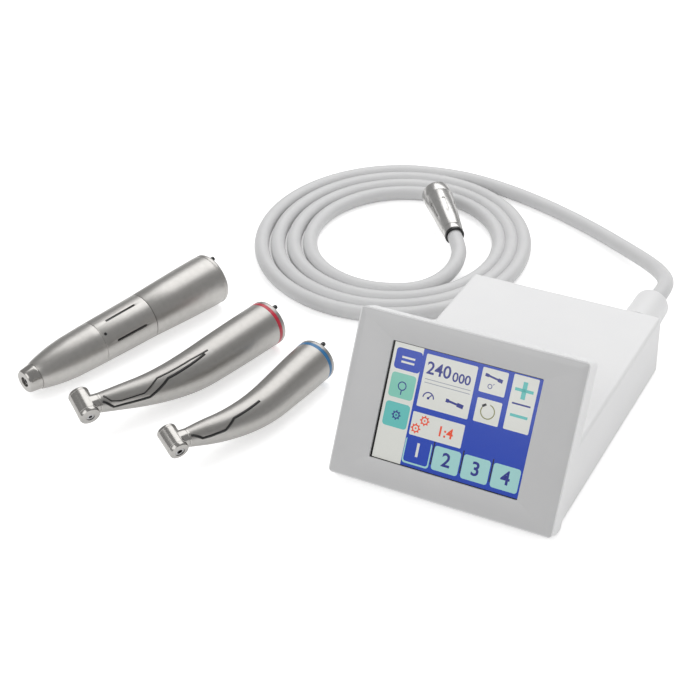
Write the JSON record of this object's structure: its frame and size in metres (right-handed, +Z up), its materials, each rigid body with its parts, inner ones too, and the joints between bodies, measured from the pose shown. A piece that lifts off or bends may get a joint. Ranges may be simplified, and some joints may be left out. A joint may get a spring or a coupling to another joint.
{
  "type": "dental electric handpiece system",
  "caption": "Desktop touch-screen control unit with a coiled motor hose and coupling, a straight handpiece and two contra-angle handpieces.",
  "frame": {"origin": "on the table plane under the middle of the control unit", "axes": "+X right along the unit's width, +Y to the unit's rear, +Z up"},
  "size_m": [0.2549, 0.2923, 0.0656],
  "materials": {
    "white_plastic": "satin white",
    "bezel_plastic": "light grey satin",
    "screen_glass": "glossy",
    "dark_plastic": "matt",
    "board": "lacquered board",
    "steel": "satin",
    "aluminium": "bare",
    "handpiece_metal": "satin",
    "bright_metal": "polished",
    "hose_silicone": "satin pale grey",
    "foot_rubber": "matt black",
    "red_band": "glossy",
    "blue_band": "glossy",
    "black_trim": "glossy",
    "clear_tube": "clear",
    "spring_steel": "bare"
  },
  "bodies": {
    "unit": {"housing_cover": "white_plastic", "base_plate": "white_plastic", "rubber_feet": "foot_rubber", "base_screws": "steel", "display_shell": "white_plastic", "front_bezel": "bezel_plastic", "bezel_gasket": "dark_plastic", "touch_glass": "screen_glass", "display_module": "dark_plastic", "display_board": "board", "display_screws": "steel", "display_bracket": "aluminium", "main_board": "board", "board_screws": "steel", "bracket_screws": "steel", "heat_sink": "aluminium", "power_inlet": "black_trim", "air_inlet": "bright_metal", "pressure_sensor": "dark_plastic", "air_tube": "clear_tube", "hose_gland": "white_plastic", "gland_nut": "white_plastic", "hose_lead": "hose_silicone", "hose_coil": "hose_silicone", "hose_tail": "hose_silicone", "coupling_body": "bright_metal", "coupling_ring": "black_trim", "coupling_insert": "dark_plastic"},
    "coupling_grip": {"coupling_nut": "handpiece_metal"},
    "straight_body": {"straight_rear_sleeve": "handpiece_metal", "straight_front_sleeve": "handpiece_metal", "straight_nose_collar": "handpiece_metal", "straight_frame": "steel", "straight_bearings": "steel", "straight_index_pin": "black_trim"},
    "straight_collar": {"straight_twist_collar": "handpiece_metal"},
    "straight_drive": {"straight_spindle": "steel", "straight_drive_dog": "steel"},
    "red_body": {"red_handle": "handpiece_metal", "red_colour_ring": "red_band", "red_head": "bright_metal", "red_head_bearings": "steel", "red_shaft_bearings": "steel", "red_index_pin": "black_trim"},
    "red_cap": {"red_push_cap": "bright_metal", "red_cap_spring": "spring_steel"},
    "red_drive": {"red_rear_shaft": "steel"},
    "red_neck_drive": {"red_front_shaft": "steel"},
    "red_chuck": {"red_spindle": "steel"},
    "blue_body": {"blue_handle": "handpiece_metal", "blue_colour_ring": "blue_band", "blue_head": "bright_metal", "blue_head_bearings": "steel", "blue_shaft_bearings": "steel", "blue_index_pin": "black_trim"},
    "blue_cap": {"blue_push_cap": "bright_metal", "blue_cap_spring": "spring_steel"},
    "blue_drive": {"blue_rear_shaft": "steel"},
    "blue_neck_drive": {"blue_front_shaft": "steel"},
    "blue_chuck": {"blue_spindle": "steel"}
  },
  "joints": [
    {"name": "coupling_nut_turn", "type": "hinge", "parent": "unit", "child": "coupling_grip", "pos_m": [-0.09339, 0.13601, 0.01264], "axis": [-0.627, 0.7719, 0.1049], "range_deg": [0, 90]},
    {"name": "straight_lift", "type": "slide", "parent": "unit", "child": "straight_body", "axis": [0, 0, 1], "range_m": [0, 0.06]},
    {"name": "straight_collar_turn", "type": "hinge", "parent": "straight_body", "child": "straight_collar", "pos_m": [-0.1864, -0.02231, 0.01118], "axis": [-0.2922, -0.9558, -0.0332], "range_deg": [0, 40]},
    {"name": "straight_spin", "type": "hinge", "parent": "straight_body", "child": "straight_drive", "pos_m": [-0.18786, -0.02709, 0.01101], "axis": [-0.2922, -0.9558, -0.0332], "continuous": true},
    {"name": "red_lift", "type": "slide", "parent": "unit", "child": "red_body", "axis": [0, 0, 1], "range_m": [0, 0.06]},
    {"name": "red_cap_press", "type": "slide", "parent": "red_body", "child": "red_cap", "axis": [0.7997, -0.5059, -0.3234], "range_m": [0, 0.0006], "stiffness_N_per_m": 1500, "springref_m": -0.0002},
    {"name": "red_drive_spin", "type": "hinge", "parent": "red_body", "child": "red_drive", "pos_m": [-0.13296, -0.01894, 0.01092], "axis": [-0.2113, -0.9774, 0], "continuous": true},
    {"name": "red_neck_spin", "type": "hinge", "parent": "red_body", "child": "red_neck_drive", "pos_m": [-0.14471, -0.05882, 0.01203], "axis": [-0.4988, -0.8595, 0.1114], "continuous": true},
    {"name": "red_chuck_spin", "type": "hinge", "parent": "red_body", "child": "red_chuck", "pos_m": [-0.16117, -0.08718, 0.01571], "axis": [-0.7997, 0.5059, 0.3234], "continuous": true},
    {"name": "blue_lift", "type": "slide", "parent": "unit", "child": "blue_body", "axis": [0, 0, 1], "range_m": [0, 0.06]},
    {"name": "blue_cap_press", "type": "slide", "parent": "blue_body", "child": "blue_cap", "axis": [0.8288, -0.4626, -0.3148], "range_m": [0, 0.0006], "stiffness_N_per_m": 1500, "springref_m": -0.0002},
    {"name": "blue_drive_spin", "type": "hinge", "parent": "blue_body", "child": "blue_drive", "pos_m": [-0.09462, -0.03587, 0.01002], "axis": [-0.0847, -0.9964, 0], "continuous": true},
    {"name": "blue_neck_spin", "type": "hinge", "parent": "blue_body", "child": "blue_neck_drive", "pos_m": [-0.10092, -0.06665, 0.01136], "axis": [-0.4438, -0.8861, 0.1336], "continuous": true},
    {"name": "blue_chuck_spin", "type": "hinge", "parent": "blue_body", "child": "blue_chuck", "pos_m": [-0.11312, -0.09102, 0.01503], "axis": [-0.8288, 0.4626, 0.3148], "continuous": true}
  ],
  "couplings": [
    {"joint": "red_neck_spin", "follows": "red_drive_spin", "ratio": -3.3333},
    {"joint": "red_chuck_spin", "follows": "red_drive_spin", "ratio": -5},
    {"joint": "blue_neck_spin", "follows": "blue_drive_spin", "ratio": -1},
    {"joint": "blue_chuck_spin", "follows": "blue_drive_spin", "ratio": -1}
  ]
}
